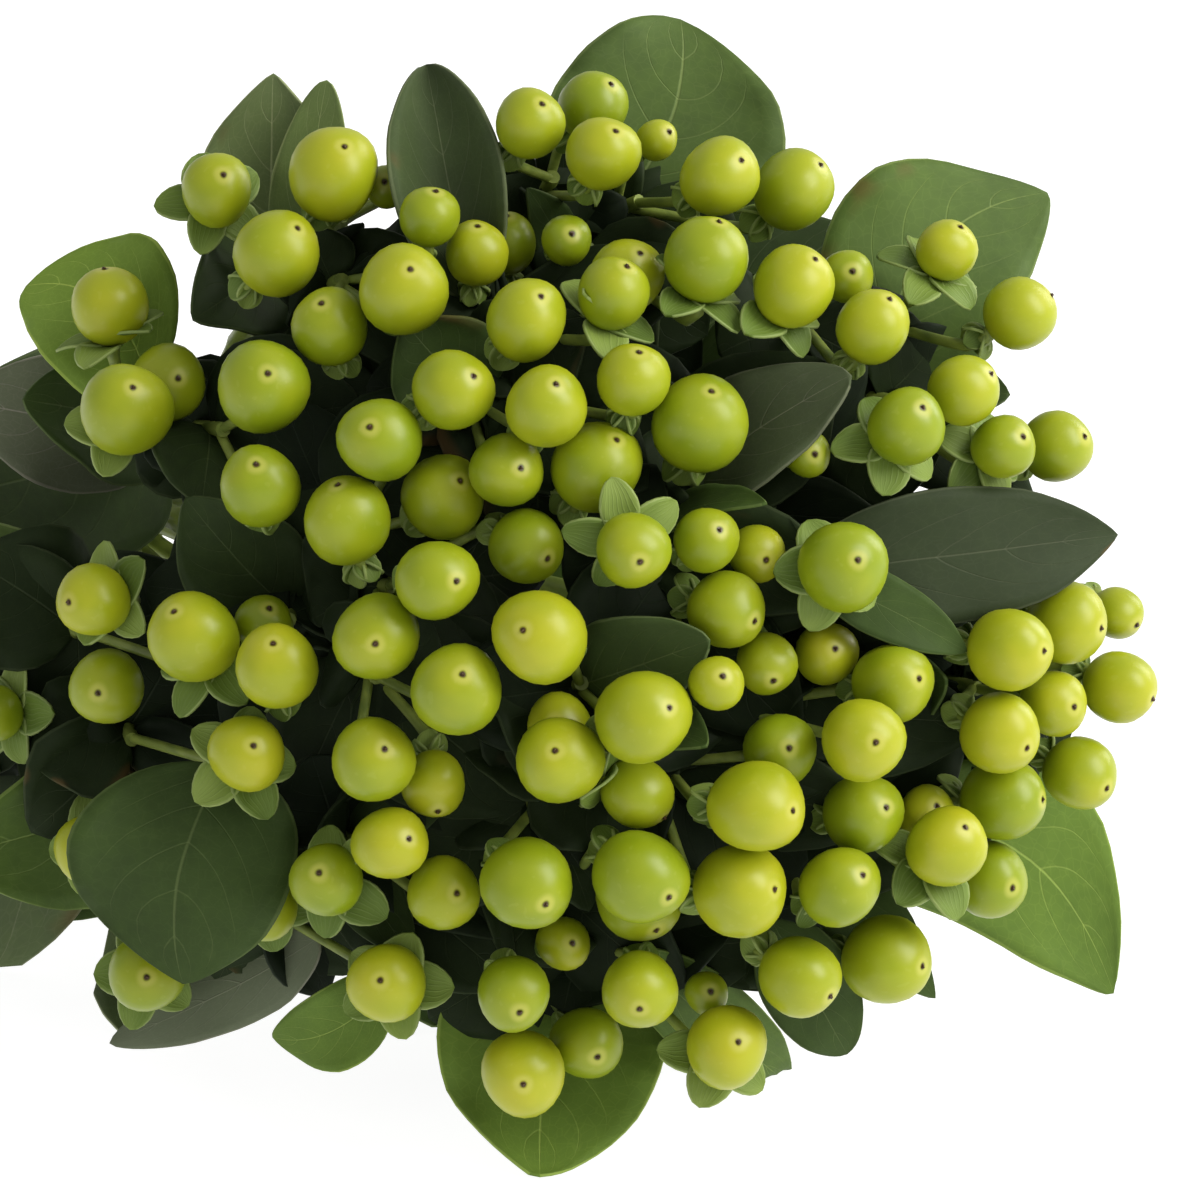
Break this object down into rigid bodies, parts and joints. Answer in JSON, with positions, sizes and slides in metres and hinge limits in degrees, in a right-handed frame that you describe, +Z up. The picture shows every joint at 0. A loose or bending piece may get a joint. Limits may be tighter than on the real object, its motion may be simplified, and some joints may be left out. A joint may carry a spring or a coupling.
{
  "type": "hypericum berry bunch",
  "caption": "Tied bunch of leafy stems lying on its side, with round green berries in sprays at one end and bare cut stems at the other.",
  "frame": {"origin": "middle of the bounding box's underside, where the bunch lies on the surface", "axes": "+Z up, +Y from the berries to the cut ends of the stems, +X to the right when the berries are seen from the front"},
  "size_m": [0.2076, 0.4066, 0.1638],
  "materials": {
    "berry_skin": null,
    "leaf": null,
    "stem_bark": "smooth green to reddish-brown stem with pale cut ends",
    "band_rubber": "plain tan rubber band, matt"
  },
  "bodies": {
    "root": {"stem_top": "berry_skin", "stem_top_right": "berry_skin", "stem_right": "berry_skin", "stem_low_right": "berry_skin", "stem_bottom": "berry_skin", "stem_low_left": "leaf", "stem_left": "leaf", "stem_high_left": "leaf", "stem_top_left": "leaf", "stem_middle_high": "stem_bark", "stem_middle_left": "stem_bark", "stem_middle_right": "stem_bark", "stem_middle_low": "stem_bark", "rubber_band": "band_rubber"}
  },
  "joints": []
}
